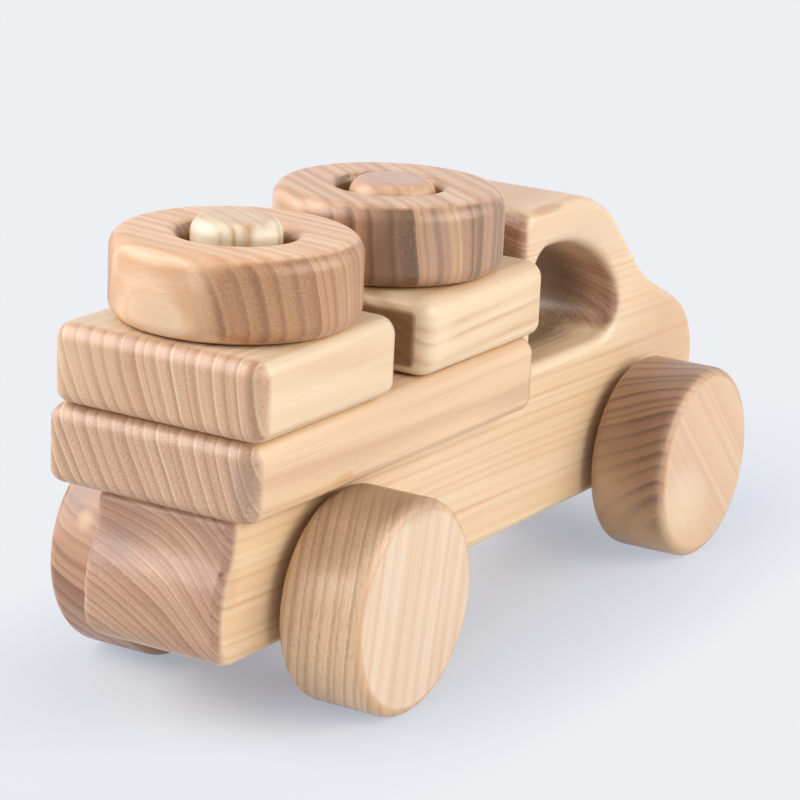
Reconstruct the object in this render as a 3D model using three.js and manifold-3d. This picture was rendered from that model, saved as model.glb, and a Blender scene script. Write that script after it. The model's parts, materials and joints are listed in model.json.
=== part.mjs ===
// A wooden stacking car: a one-block body with two pegs, on which a plank, two square plates
// and two rings are stacked, and two wheel sets that turn in the body.
// Millimetres, +X forward, +Y to the car's left, +Z up, floor at z = 0.

import * as THREE from 'three';
import { mergeVertices } from 'three/addons/utils/BufferGeometryUtils.js';
import Module from 'manifold-3d';

const wasm = await Module();
wasm.setup();

// Plank and plates, all cut from the same board
const boardThickness = 19.6;
const boardWidth = 60;
const boardRound = 3.3;

// Rings
const rearRingDiameter = 60;
const frontRingDiameter = 58.8;
const ringThickness = 20.6;
const ringRound = 4.2;
const rearHoleRound = 3.6;
const frontHoleRound = 2.4;

// Pegs, and the loose holes that go over them
const pegDiameter = 22;
const boardPlay = 3;
const ringPlay = 2.5;
const holeEase = 1.5;
const pegRound = 4.2;
const rearPegProud = 3.5;
const frontPegProud = 1.6;
const rearPegInset = 32;
const stackGap = 9;

// How far each loose piece lies off its peg along X and Y, as shares of its play
const plankLean = [0, 0.6];
const rearPlateLean = [-0.8, 0];
const frontPlateLean = [0.73, 0.5];
const rearRingLean = [-0.48, -0.4];
const frontRingLean = [-0.1, 0.3];

// Wheels and axles
const wheelDiameter = 53.6;
const wheelThickness = 22.9;
const wheelRound = 3.2;
const wheelGap = 2.45;
const axleDiameter = 8;
const wheelSocketDepth = 15;
const rearAxleInset = 46.2;
const frontAxleInset = 39.6;

// Body block
const bodyWidth = 40;
const bodyRound = 3;
const wheelTopGap = 0.8;
const axleWall = 4.8;
const socketFloor = 5.3;
const tailStep = 5;
const tailUpper = 8.4;
const tailSlope = 11;
const tailRound = 19;
const endRound = 8;

// Cab
const cabGap = 1.5;
const plankFrontGap = 4.4;
const sillRise = 7.6;
const pillarThickness = 6.5;
const windowHeight = 30.9;
const windowCeiling = 23.3;
const windowBrowDrop = 10.8;
const windowBrowSlope = 30;
const windowNoseSlope = 60;
const roofThickness = 11.4;
const roofLength = 42;
const windshieldDrop = 29;
const windshieldSlope = 45;
const hoodLength = 33;
const hoodSlope = 25.8;
const browRound = 34;
const hoodRound = 45;
const noseRound = 19;
const roofRearRound = 6;
const seatRound = 1.5;
const windowRearSillRound = 3.5;
const windowSillRound = 9.3;
const windowNoseRound = 26;
const windowRearRound = 8;
const windowBrowRound = 40;

// Fits
const glueGap = 0.3;
const runningClearance = 0.3;
const restGap = 0.3;
const cornerExtra = 0.5;

// Facets
const wheelSides = 36;
const ringSides = 36;
const pegSides = 28;
const axleSides = 20;
const arcSteps = 3;
const roundSteps = 3;

// Heights, from the floor up
const wheelRadius = wheelDiameter / 2;
const axleRadius = axleDiameter / 2;
const axleHoleRadius = axleRadius + runningClearance;
const bodyBottom = wheelRadius - axleHoleRadius - axleWall;
const pegSocketBottom = wheelRadius + axleHoleRadius + socketFloor;
const bedHeight = wheelDiameter + wheelTopGap;
const plankBottom = bedHeight + restGap;
const plateBottom = plankBottom + boardThickness + restGap;
const ringBottom = plateBottom + boardThickness + restGap;
const ringTop = ringBottom + ringThickness;
const sillHeight = bedHeight + sillRise;
const windowTop = sillHeight + windowHeight;
const roofHeight = windowTop + roofThickness;
const hoodHeight = roofHeight - windshieldDrop;
const noseHeight = hoodHeight - hoodLength * Math.tan(THREE.MathUtils.degToRad(hoodSlope));

// Lengths, from the body's rear end forward
const pegRadius = pegDiameter / 2;
const stackSize = Math.max(boardWidth, rearRingDiameter, frontRingDiameter);
const rearPegX = rearPegInset;
const frontPegX = rearPegX + stackSize + stackGap;
const rearPlateX = rearPegX + rearPlateLean[0] * boardPlay;
const frontPlateX = frontPegX + frontPlateLean[0] * boardPlay;
const cabRearX = frontPegX + stackSize / 2 + boardPlay + cabGap;
const plankLength = cabRearX - plankFrontGap;
const browX = cabRearX + roofLength;
const hoodX = browX + windshieldDrop / Math.tan(THREE.MathUtils.degToRad(windshieldSlope));
const bodyLength = hoodX + hoodLength;
const frontAxleX = bodyLength - frontAxleInset;
const rearEnd = Math.min(0, rearPlateX - boardWidth / 2);

// Widths, from the middle outward
const wheelInner = bodyWidth / 2 + wheelGap;
const wheelMiddle = wheelInner + wheelThickness / 2;
const axleHalf = wheelInner + wheelSocketDepth - glueGap;

const woods = {
  body: { color: 0xe3ba86, roughness: 0.55, metalness: 0 },
  plank: { color: 0xe6c08e, roughness: 0.55, metalness: 0 },
  plate: { color: 0xe9c795, roughness: 0.55, metalness: 0 },
  ring: { color: 0xd6a273, roughness: 0.5, metalness: 0 },
  peg: { color: 0xeed3a2, roughness: 0.5, metalness: 0 },
  wheel: { color: 0xdcb083, roughness: 0.55, metalness: 0 },
  axle: { color: 0xd9b98a, roughness: 0.6, metalness: 0 },
};

// An outline through corners [x, y, radius], each rounded by an arc that its two edges can hold.
function roundedOutline(corners, Outline = THREE.Shape) {
  const outline = new Outline();
  corners.forEach(([x, y, radius], i) => {
    const corner = new THREE.Vector2(x, y);
    const [beforeX, beforeY] = corners.at(i - 1);
    const [afterX, afterY] = corners[(i + 1) % corners.length];
    const before = new THREE.Vector2(beforeX, beforeY).sub(corner);
    const after = new THREE.Vector2(afterX, afterY).sub(corner);
    const halfAngle = before.angleTo(after) / 2;
    const room = Math.min(before.length(), after.length()) / 2;
    const reach = Math.min(radius / Math.tan(halfAngle), room);
    const arcRadius = reach * Math.tan(halfAngle);
    const start = corner.clone().add(before.setLength(reach));
    const end = corner.clone().add(after.setLength(reach));
    const inward = start.clone().add(end).sub(corner).sub(corner);
    const centre = corner.clone().add(inward.setLength(Math.hypot(reach, arcRadius)));
    const from = start.clone().sub(centre).angle();
    const to = end.clone().sub(centre).angle();
    const clockwise = before.cross(after) > 0;
    if (i === 0) outline.moveTo(start.x, start.y);
    else outline.lineTo(start.x, start.y);
    outline.absarc(centre.x, centre.y, arcRadius, from, to, clockwise);
  });
  outline.closePath();
  return outline;
}

// The points of a quarter turn about a centre, from one angle to another.
function quarterArc(x, y, radius, from, to) {
  return Array.from({ length: roundSteps + 1 }, (_, i) => {
    const angle = THREE.MathUtils.degToRad(THREE.MathUtils.lerp(from, to, i / roundSteps));
    return new THREE.Vector2(x + radius * Math.cos(angle), y + radius * Math.sin(angle));
  });
}

// A closed geometry as a solid for cuts.
function solid(geometry) {
  const bare = geometry.clone();
  bare.deleteAttribute('normal');
  bare.deleteAttribute('uv');
  const merged = mergeVertices(bare);
  return new wasm.Manifold(new wasm.Mesh({
    numProp: 3,
    vertProperties: new Float32Array(merged.attributes.position.array),
    triVerts: new Uint32Array(merged.index.array),
  }));
}

// An outline as a slab with every edge rounded over, its lower face at z = 0.
function roundedSlab(outline, thickness, round) {
  return new THREE.ExtrudeGeometry(outline, {
    depth: thickness - 2 * round,
    curveSegments: arcSteps,
    bevelThickness: round,
    bevelSize: round,
    bevelOffset: -round,
    bevelSegments: roundSteps,
  }).translate(0, 0, round);
}

// A solid turned about Z; its profile starts and ends on the axis or closes on itself.
function turned(profile, sides) {
  return solid(new THREE.LatheGeometry(profile, sides).rotateX(Math.PI / 2));
}

// A cutter along Y whose flat sides, not its corners, lie at the radius, so that a round pin clears it.
function bore(radius, length, sides) {
  const cornerRadius = radius / Math.cos(Math.PI / sides);
  return new THREE.CylinderGeometry(cornerRadius, cornerRadius, length, sides);
}

// An upright cutter for a through hole with eased edges in a board lying on z = 0.
function holeCutter() {
  const radius = pegRadius + boardPlay;
  const flare = radius + holeEase;
  const top = boardThickness - holeEase;
  return turned([
    new THREE.Vector2(0, -holeEase),
    new THREE.Vector2(flare, -holeEase),
    ...quarterArc(flare, holeEase, holeEase, 270, 180),
    ...quarterArc(flare, top, holeEase, 180, 90),
    new THREE.Vector2(flare, boardThickness + holeEase),
    new THREE.Vector2(0, boardThickness + holeEase),
  ], pegSides);
}

// A board lying on z = 0 with its middle at the origin, rounded over on every edge.
function board(length, width, holes) {
  const x = length / 2;
  const y = width / 2;
  const corner = boardRound + cornerExtra;
  const outline = roundedOutline([[-x, -y, corner], [x, -y, corner], [x, y, corner], [-x, y, corner]]);
  const blank = solid(roundedSlab(outline, boardThickness, boardRound));
  return holes.reduce((rest, hole) => rest.subtract(holeCutter().translate([hole, 0, 0])), blank);
}

// A ring lying on z = 0: well rounded outside and in the hole.
function ring(diameter, holeRound) {
  const outer = diameter / 2 - ringRound;
  const flare = pegRadius + ringPlay + holeRound;
  const profile = [
    ...quarterArc(outer, ringRound, ringRound, 270, 360),
    ...quarterArc(outer, ringThickness - ringRound, ringRound, 0, 90),
    ...quarterArc(flare, ringThickness - holeRound, holeRound, 90, 180),
    ...quarterArc(flare, holeRound, holeRound, 180, 270),
  ];
  return turned([...profile, profile[0].clone()], ringSides);
}

// A peg from its socket in the bed to its rounded top.
function peg(top) {
  const bottom = pegSocketBottom + glueGap;
  return turned([
    new THREE.Vector2(0, bottom),
    new THREE.Vector2(pegRadius, bottom),
    ...quarterArc(pegRadius - pegRound, top - pegRound, pegRound, 0, 90),
    new THREE.Vector2(0, top),
  ], pegSides);
}

// A thick wheel about Y, a flat of its rim downward, with a blind socket in its inner face at -Y.
function wheel() {
  const half = wheelThickness / 2;
  const rim = wheelRadius / Math.cos(Math.PI / wheelSides) - wheelRound;
  const socket = axleRadius / Math.cos(Math.PI / wheelSides) + glueGap;
  const profile = [
    new THREE.Vector2(0, wheelSocketDepth - half),
    new THREE.Vector2(socket, wheelSocketDepth - half),
    new THREE.Vector2(socket, -half),
    ...quarterArc(rim, wheelRound - half, wheelRound, 270, 360),
    ...quarterArc(rim, half - wheelRound, wheelRound, 0, 90),
    new THREE.Vector2(0, half),
  ];
  return solid(new THREE.LatheGeometry(profile, wheelSides).rotateY(Math.PI / wheelSides));
}

// The body block: one board on edge, with its cab, window, peg sockets and axle holes.
function bodyBlock() {
  const least = bodyRound + cornerExtra;
  const outline = roundedOutline([
    [0, bodyBottom, Math.max(endRound, least)],
    [bodyLength, bodyBottom, Math.max(endRound, least)],
    [bodyLength, noseHeight, Math.max(noseRound, least)],
    [hoodX, hoodHeight, hoodRound],
    [browX, roofHeight, Math.max(browRound, least)],
    [cabRearX, roofHeight, Math.max(roofRearRound, least)],
    [cabRearX, bedHeight, seatRound],
    [tailStep, bedHeight, least],
    [tailStep, bedHeight - tailUpper, tailRound],
    [0, bedHeight - tailUpper - tailSlope, Math.max(tailRound, least)],
  ]);
  const rear = cabRearX + pillarThickness;
  const ceilingX = rear + windowCeiling;
  const noseX = ceilingX + windowBrowDrop / Math.tan(THREE.MathUtils.degToRad(windowBrowSlope));
  const noseDrop = windowHeight - windowBrowDrop;
  const sillX = noseX + noseDrop / Math.tan(THREE.MathUtils.degToRad(windowNoseSlope));
  outline.holes.push(roundedOutline([
    [rear, sillHeight, windowRearSillRound],
    [rear, windowTop, windowRearRound],
    [ceilingX, windowTop, windowBrowRound],
    [noseX, windowTop - windowBrowDrop, windowNoseRound],
    [sillX, sillHeight, windowSillRound],
  ], THREE.Path));
  const blank = roundedSlab(outline, bodyWidth, bodyRound);
  blank.translate(0, 0, -bodyWidth / 2).rotateX(Math.PI / 2);
  const axleHole = bore(axleHoleRadius, 2 * bodyWidth, axleSides);
  const socketDepth = bedHeight - pegSocketBottom;
  const pegSocket = bore(pegRadius + glueGap, 2 * socketDepth, pegSides).rotateX(Math.PI / 2);
  return solid(blank)
    .subtract(solid(axleHole.clone().translate(rearAxleInset, 0, wheelRadius)))
    .subtract(solid(axleHole.clone().translate(frontAxleX, 0, wheelRadius)))
    .subtract(solid(pegSocket.clone().translate(rearPegX, 0, bedHeight)))
    .subtract(solid(pegSocket.clone().translate(frontPegX, 0, bedHeight)));
}

const car = new THREE.Group();
car.name = 'stacking_car';
car.position.x = -(rearEnd + bodyLength) / 2;

// Adds a named piece of the car, its solid moved to its place.
function add(name, wood, shape, x, y, z) {
  const { vertProperties, triVerts } = shape.getMesh();
  const geometry = new THREE.BufferGeometry();
  geometry.setAttribute('position', new THREE.BufferAttribute(vertProperties, 3));
  geometry.setIndex(new THREE.BufferAttribute(triVerts, 1));
  geometry.computeVertexNormals();
  const mesh = new THREE.Mesh(geometry, new THREE.MeshStandardMaterial(woods[wood]));
  mesh.name = name;
  mesh.position.set(x, y, z);
  car.add(mesh);
}

add('body_block', 'body', bodyBlock(), 0, 0, 0);
add('rear_peg', 'peg', peg(ringTop + rearPegProud), rearPegX, 0, 0);
add('front_peg', 'peg', peg(ringTop + frontPegProud), frontPegX, 0, 0);

const plankX = plankLength / 2;
const plank = board(plankLength, boardWidth, [rearPegX - plankX, frontPegX - plankX]);
add('long_plank', 'plank', plank, plankX + plankLean[0] * boardPlay, plankLean[1] * boardPlay, plankBottom);

const plate = board(boardWidth, boardWidth, [0]);
add('rear_plate', 'plate', plate, rearPlateX, rearPlateLean[1] * boardPlay, plateBottom);
add('front_plate', 'plate', plate, frontPlateX, frontPlateLean[1] * boardPlay, plateBottom);

const [rearRingX, rearRingY] = rearRingLean.map((share) => share * ringPlay);
const [frontRingX, frontRingY] = frontRingLean.map((share) => share * ringPlay);
add('rear_ring', 'ring', ring(rearRingDiameter, rearHoleRound), rearPegX + rearRingX, rearRingY, ringBottom);
add('front_ring', 'ring', ring(frontRingDiameter, frontHoleRound), frontPegX + frontRingX, frontRingY, ringBottom);

const axle = solid(new THREE.CylinderGeometry(axleRadius, axleRadius, 2 * axleHalf, axleSides));
const leftWheel = wheel();
const rightWheel = leftWheel.rotate([0, 0, 180]);
for (const [end, x] of [['rear', rearAxleInset], ['front', frontAxleX]]) {
  add(`${end}_axle`, 'axle', axle, x, 0, wheelRadius);
  add(`${end}_left_wheel`, 'wheel', leftWheel, x, wheelMiddle, wheelRadius);
  add(`${end}_right_wheel`, 'wheel', rightWheel, x, -wheelMiddle, wheelRadius);
}

export default car;
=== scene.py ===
# %% [markdown]
# # A wooden stacking car
# A push-along car from one block of wood, with loose pieces stacked on its two pegs.
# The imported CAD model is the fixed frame. Every piece is modelled again over its CAD node,
# with smoother rounds, because wood that children hold is sanded until no corner is left.

# %% Load the frame
import json
import math

import bmesh
import bpy
from mathutils import Matrix, Vector

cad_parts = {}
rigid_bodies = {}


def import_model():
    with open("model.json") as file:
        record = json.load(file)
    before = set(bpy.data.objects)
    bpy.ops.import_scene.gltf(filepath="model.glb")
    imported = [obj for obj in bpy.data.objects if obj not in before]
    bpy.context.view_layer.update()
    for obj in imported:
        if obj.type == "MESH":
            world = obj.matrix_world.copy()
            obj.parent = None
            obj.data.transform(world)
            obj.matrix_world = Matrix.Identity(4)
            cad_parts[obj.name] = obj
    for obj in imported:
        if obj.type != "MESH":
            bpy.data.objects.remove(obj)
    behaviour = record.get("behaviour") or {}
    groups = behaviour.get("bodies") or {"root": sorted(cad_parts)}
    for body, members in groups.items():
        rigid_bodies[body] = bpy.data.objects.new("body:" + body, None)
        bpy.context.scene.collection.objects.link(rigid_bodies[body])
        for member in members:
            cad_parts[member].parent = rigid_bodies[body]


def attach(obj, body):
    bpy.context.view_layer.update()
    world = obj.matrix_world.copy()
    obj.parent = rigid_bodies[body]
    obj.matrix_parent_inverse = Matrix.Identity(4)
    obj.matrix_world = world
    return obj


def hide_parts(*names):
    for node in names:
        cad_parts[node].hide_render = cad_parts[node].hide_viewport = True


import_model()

for stray in ("Cube", "Light", "Camera"):
    if stray in bpy.data.objects:
        bpy.data.objects.remove(bpy.data.objects[stray])
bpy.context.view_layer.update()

# %% [markdown]
# ## Working in millimetres
# A woodworker thinks in millimetres and Blender in metres, so one small value turns one into the other.
# The car is measured from its tail, and the frame's origin is under its middle.

# %% Units and places
MM = 0.001
TAIL = -119.55
BED = 54.4
WHEEL_RADIUS = 26.8
REAR_AXLE, FRONT_AXLE = 46.2, 199.9
REAR_PEG, FRONT_PEG = 32.0, 101.0
BODY_HALF = 20.0


def place(x, y, z):
    """A point measured in millimetres from the tail, the middle and the floor, in the frame's metres."""
    return Vector(((x + TAIL) * MM, y * MM, z * MM))


print("The bed is at", place(0, 0, BED))

# %% [markdown]
# ## Picking by place
# In edit mode an operator acts on what is selected. By hand one would click on an edge. In a script,
# the edges are picked by where they lie, with a test on each edge's two ends.

# %% Selecting helpers
EXACT = 0.02 * MM
CREASE_ANGLE = math.radians(30)


def start_piece():
    """Leaves nothing selected, so that the next operator acts only on the next piece."""
    if bpy.context.object and bpy.context.object.mode != "OBJECT":
        bpy.ops.object.mode_set(mode="OBJECT")
    bpy.ops.object.select_all(action="DESELECT")


def pick(kind, test):
    """In edit mode, selects the vertices, edges or faces of the active mesh that pass a test."""
    bpy.ops.mesh.select_mode(type=kind)
    bpy.ops.mesh.select_all(action="DESELECT")
    mesh = bpy.context.object.data
    editing = bmesh.from_edit_mesh(mesh)
    parts = {"VERT": editing.verts, "EDGE": editing.edges, "FACE": editing.faces}[kind]
    chosen = [part for part in parts if test(part)]
    for part in chosen:
        part.select_set(True)
    editing.select_flush_mode()
    bmesh.update_edit_mesh(mesh)
    return len(chosen)


def is_crease(edge):
    """True for an edge where the surface turns a corner."""
    return len(edge.link_faces) == 2 and edge.calc_face_angle(0) > CREASE_ANGLE


def both_ends(edge, test):
    """True for an edge whose two ends both lie where a test wants them."""
    return all(test(vertex.co) for vertex in edge.verts)


print("Picking helpers ready")

# %% [markdown]
# ## Drawing an outline
# The body is sawn to a drawn line. Here a single point is extruded from corner to corner, the loop is
# filled, and each corner is rounded by a vertex bevel. How far a bevel reaches along an edge follows
# from the radius of the round and the angle of the corner.

# %% Outline helpers
ROUND_STEPS = 10


def trace_outline(name, corners, y):
    """A flat face through corners (x, z, radius) in millimetres, standing at the given y."""
    start_piece()
    points = [place(x, y, z) for x, z, _ in corners]
    bpy.ops.mesh.primitive_plane_add(size=MM, location=points[0])
    piece = bpy.context.object
    piece.name = name
    bpy.ops.object.transform_apply(location=True, rotation=True, scale=True)
    bpy.ops.object.mode_set(mode="EDIT")
    bpy.ops.mesh.merge(type="CENTER")
    for here, there in zip(points, points[1:]):
        bpy.ops.mesh.extrude_region_move(TRANSFORM_OT_translate={"value": there - here})
    bpy.ops.mesh.select_all(action="SELECT")
    bpy.ops.mesh.edge_face_add()
    for i, (_, _, radius) in enumerate(corners):
        before = points[i - 1] - points[i]
        after = points[(i + 1) % len(points)] - points[i]
        reach = radius * MM / math.tan(before.angle(after) / 2)
        pick("VERT", lambda vertex: (vertex.co - points[i]).length < EXACT)
        bpy.ops.mesh.bevel(offset_type="OFFSET", offset=reach, segments=ROUND_STEPS, affect="VERTICES")
    return piece


def thicken_outline(depth):
    """Extrudes the traced face along +Y by a depth in millimetres and turns its faces outward."""
    bpy.ops.mesh.select_all(action="SELECT")
    bpy.ops.mesh.extrude_region_move(TRANSFORM_OT_translate={"value": (0, depth * MM, 0)})
    bpy.ops.mesh.select_all(action="SELECT")
    bpy.ops.mesh.normals_make_consistent(inside=False)
    bpy.ops.object.mode_set(mode="OBJECT")


print("Outline helpers ready")

# %% [markdown]
# ## Cutting and smoothing
# A saw, a drill and a router all take wood away. Holes could be built into a mesh by hand, but a Boolean
# modifier cuts one solid out of another in one step, at any angle. Smooth shading comes last: rounds then
# look round, and a Weighted Normal modifier keeps the large flats flat.

# %% Cutting helpers
ACROSS = (math.pi / 2, 0, 0)
UPRIGHT = (0, 0, 0)
SMOOTH_ANGLE = math.radians(40)


def cut_away(piece, cutter):
    """Cuts one solid out of another, as a saw, drill or router does, and drops the waste."""
    start_piece()
    bpy.context.view_layer.objects.active = piece
    piece.select_set(True)
    bpy.ops.object.modifier_add(type="BOOLEAN")
    cut = piece.modifiers[-1]
    cut.operation, cut.solver, cut.object = "DIFFERENCE", "EXACT", cutter
    bpy.ops.object.modifier_apply(modifier=cut.name)
    bpy.data.objects.remove(cutter)


def drill(radius, length, at, turn, sides):
    """A drill's shape: a cylinder with its middle at a place in millimetres, upright unless turned."""
    start_piece()
    bpy.ops.mesh.primitive_cylinder_add(
        vertices=sides, radius=radius * MM, depth=length * MM, location=place(*at), rotation=turn)
    cutter = bpy.context.object
    bpy.ops.object.transform_apply(location=True, rotation=True, scale=True)
    return cutter


def soften(piece):
    """Smooth shading that keeps the big flats flat."""
    start_piece()
    bpy.context.view_layer.objects.active = piece
    piece.select_set(True)
    bpy.ops.object.shade_smooth_by_angle(angle=SMOOTH_ANGLE)
    bpy.ops.object.modifier_add(type="WEIGHTED_NORMAL")
    piece.modifiers[-1].keep_sharp = True
    bpy.ops.object.modifier_apply(modifier=piece.modifiers[-1].name)
    print(f"{piece.name}: {len(piece.data.polygons)} faces")
    return piece


print("Cutting helpers ready")

# %% [markdown]
# ## The body block
# The real body is one thick board on edge: the tail, the low bed and the cab are one sawn line, with no
# joint anywhere. It could be a box with pieces cut off, but its long curves are easier to draw. So it is
# traced as one outline and extruded once. The window is a second outline, cut through as a jigsaw would.

# %% Body outline
BODY_OUTLINE = [
    (0, 17.7, 8), (239.5, 17.7, 8), (239.5, 59.35, 19), (206.5, 75.3, 45), (177.5, 104.3, 34),
    (135.5, 104.3, 6), (135.5, 54.4, 1.5), (5, 54.4, 3.5), (5, 46, 19), (0, 35, 19),
]
WINDOW_OUTLINE = [(142, 62, 3.5), (195.6, 62, 9.3), (184, 82.1, 26), (165.3, 92.9, 40), (142, 92.9, 8)]

body = trace_outline("car_body_block", BODY_OUTLINE, -BODY_HALF)
thicken_outline(2 * BODY_HALF)
window = trace_outline("window_waste", WINDOW_OUTLINE, -2 * BODY_HALF)
thicken_outline(4 * BODY_HALF)
cut_away(body, window)
print("Sawn body:", len(body.data.polygons), "faces")

# %% [markdown]
# ## Drilling and rounding the body
# Axle holes and peg sockets are drilled into the sawn block. The rounded edges come from a router with a
# roundover bit, run along both sides and round the window. An edge bevel does the same. The axle holes are
# only eased with sandpaper.

# %% Drill and round
AXLE_HOLE_RADIUS, AXLE_HOLE_EASE, AXLE_SIDES = 4.3, 0.5, 40
AXLE_SURROUND = 6.0
PEG_SOCKET_RADIUS, PEG_SOCKET_BOTTOM, PEG_SOCKET_SIDES = 11.3, 36.4, 56
BODY_ROUND = 3.0

for axle in (REAR_AXLE, FRONT_AXLE):
    cut_away(body, drill(AXLE_HOLE_RADIUS, 4 * BODY_HALF, (axle, 0, WHEEL_RADIUS), ACROSS, AXLE_SIDES))
for peg in (REAR_PEG, FRONT_PEG):
    depth = 2 * (BED - PEG_SOCKET_BOTTOM)
    cut_away(body, drill(PEG_SOCKET_RADIUS, depth, (peg, 0, BED), UPRIGHT, PEG_SOCKET_SIDES))


def near_axle(point):
    """True for a point close to the line of either axle."""
    upright = Vector((point.x, 0, point.z))
    return any((upright - place(axle, 0, WHEEL_RADIUS)).length < AXLE_SURROUND * MM
               for axle in (REAR_AXLE, FRONT_AXLE))


def on_side(point):
    """True for a point on either flat side of the block."""
    return abs(abs(point.y) - BODY_HALF * MM) < EXACT


start_piece()
bpy.context.view_layer.objects.active = body
bpy.ops.object.mode_set(mode="EDIT")
rims = pick("EDGE", lambda e: is_crease(e) and both_ends(e, on_side) and both_ends(e, near_axle))
bpy.ops.mesh.bevel(offset=AXLE_HOLE_EASE * MM, segments=3, affect="EDGES", clamp_overlap=False)
sides = pick("EDGE", lambda e: is_crease(e) and both_ends(e, on_side) and not both_ends(e, near_axle))
bpy.ops.mesh.bevel(
    offset=BODY_ROUND * MM, segments=7, affect="EDGES", clamp_overlap=False, loop_slide=False)
bpy.ops.object.mode_set(mode="OBJECT")
soften(body)
print("Rounded", sides, "side edges and", rims, "hole edges")

# %% [markdown]
# ## Copies
# Wheels, axles and plates come in sets, cut to one stop on the same machine. So one of each is modelled and
# the rest are copied, each with a mesh of its own, because most copies get a wood of their own.

# %% Copy helper
def copy_piece(piece, name, shift, turn=0.0):
    """A copy with its own mesh, turned about the frame's upright axis and then moved, in millimetres."""
    start_piece()
    bpy.context.view_layer.objects.active = piece
    piece.select_set(True)
    bpy.ops.object.duplicate(linked=False)
    twin = bpy.context.object
    twin.name = twin.data.name = name
    twin.rotation_euler.z = turn
    twin.location = Vector(shift) * MM
    bpy.ops.object.transform_apply(location=True, rotation=True, scale=True)
    print(f"{name}: copied from {piece.name}")
    return twin


print("Copy helper ready")

# %% [markdown]
# ## Plank and plates
# All three come from one planed board, 60 mm wide, so they share a width, a thickness and a roundover.
# Each is a box with its edges bevelled. The peg holes could be there from the start, but bevels run best
# along plain edges, so the holes are drilled after, with a lightly eased rim.

# %% Boards
BOARD_WIDTH, BOARD_THICKNESS = 60.0, 19.6
CORNER_ROUND, TOP_ROUND, BOTTOM_ROUND = 5.2, 4.6, 3.4
BOARD_HOLE_RADIUS, BOARD_HOLE_EASE, BOARD_HOLE_SIDES = 14.0, 1.5, 72


def make_board(name, length, middle, bottom, holes):
    """A rounded board with its middle at (x, y) and holes at the given x, all in millimetres."""
    start_piece()
    centre = place(middle[0], middle[1], bottom + BOARD_THICKNESS / 2)
    bpy.ops.mesh.primitive_cube_add(size=1, location=centre)
    piece = bpy.context.object
    piece.name = name
    piece.scale = (length * MM, BOARD_WIDTH * MM, BOARD_THICKNESS * MM)
    bpy.ops.object.transform_apply(location=True, rotation=True, scale=True)
    bpy.ops.object.mode_set(mode="EDIT")
    pick("EDGE", lambda e: abs(e.verts[0].co.z - e.verts[1].co.z) > EXACT)
    bpy.ops.mesh.bevel(offset=CORNER_ROUND * MM, segments=8, affect="EDGES")
    low, high = bottom * MM, (bottom + BOARD_THICKNESS) * MM
    for level, reach in ((low, BOTTOM_ROUND), (high, TOP_ROUND)):
        pick("EDGE", lambda e: is_crease(e) and both_ends(e, lambda p: abs(p.z - level) < EXACT))
        bpy.ops.mesh.bevel(offset=reach * MM, segments=7, affect="EDGES", clamp_overlap=False)
    bpy.ops.object.mode_set(mode="OBJECT")
    for x in holes:
        at = (x, middle[1], bottom)
        cut_away(piece, drill(BOARD_HOLE_RADIUS, 2 * BOARD_THICKNESS, at, UPRIGHT, BOARD_HOLE_SIDES))
    centres = [place(x, middle[1], 0).xy for x in holes]

    def on_rim(point):
        """True for a point on the rim of a hole, above or below."""
        flat = min(abs(point.z - low), abs(point.z - high)) < EXACT
        return flat and any((point.xy - c).length < BOARD_HOLE_RADIUS * MM + EXACT for c in centres)

    start_piece()
    bpy.context.view_layer.objects.active = piece
    bpy.ops.object.mode_set(mode="EDIT")
    pick("EDGE", lambda e: is_crease(e) and both_ends(e, on_rim))
    bpy.ops.mesh.bevel(offset=BOARD_HOLE_EASE * MM, segments=4, affect="EDGES", clamp_overlap=False)
    bpy.ops.object.mode_set(mode="OBJECT")
    return soften(piece)


PLANK_LENGTH, PLANK_Y, PLANK_BOTTOM = 131.1, 1.8, 54.7
REAR_PLATE, FRONT_PLATE, FRONT_PLATE_Y, PLATE_BOTTOM = 29.6, 103.19, 1.5, 74.6
plank = make_board("plank", PLANK_LENGTH, (PLANK_LENGTH / 2, PLANK_Y), PLANK_BOTTOM, (REAR_PEG, FRONT_PEG))
rear_plate = make_board("plate_rear", BOARD_WIDTH, (REAR_PLATE, 0), PLATE_BOTTOM, (REAR_PLATE,))
front_plate = copy_piece(rear_plate, "plate_front", (FRONT_PLATE - REAR_PLATE, FRONT_PLATE_Y, 0))

# %% [markdown]
# ## Rings
# A ring is turned on a lathe, so its shape is a profile taken round an axis. A torus would be round all over,
# with no flats. So the profile is a small upright rectangle. Its outer corners get a big round and its inner
# corners a smaller one, smallest on the front ring, and Spin takes it round.

# %% Rings
RING_BOTTOM, RING_THICKNESS, RING_ROUND, RING_HOLE_RADIUS = 94.5, 20.6, 4.2, 13.5
REAR_RING_RADIUS, REAR_HOLE_ROUND, REAR_RING = 30.0, 3.6, (30.8, -1.0)
FRONT_RING_RADIUS, FRONT_HOLE_ROUND, FRONT_RING = 29.4, 2.4, (100.75, 0.75)
SPIN_STEPS = 120


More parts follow.
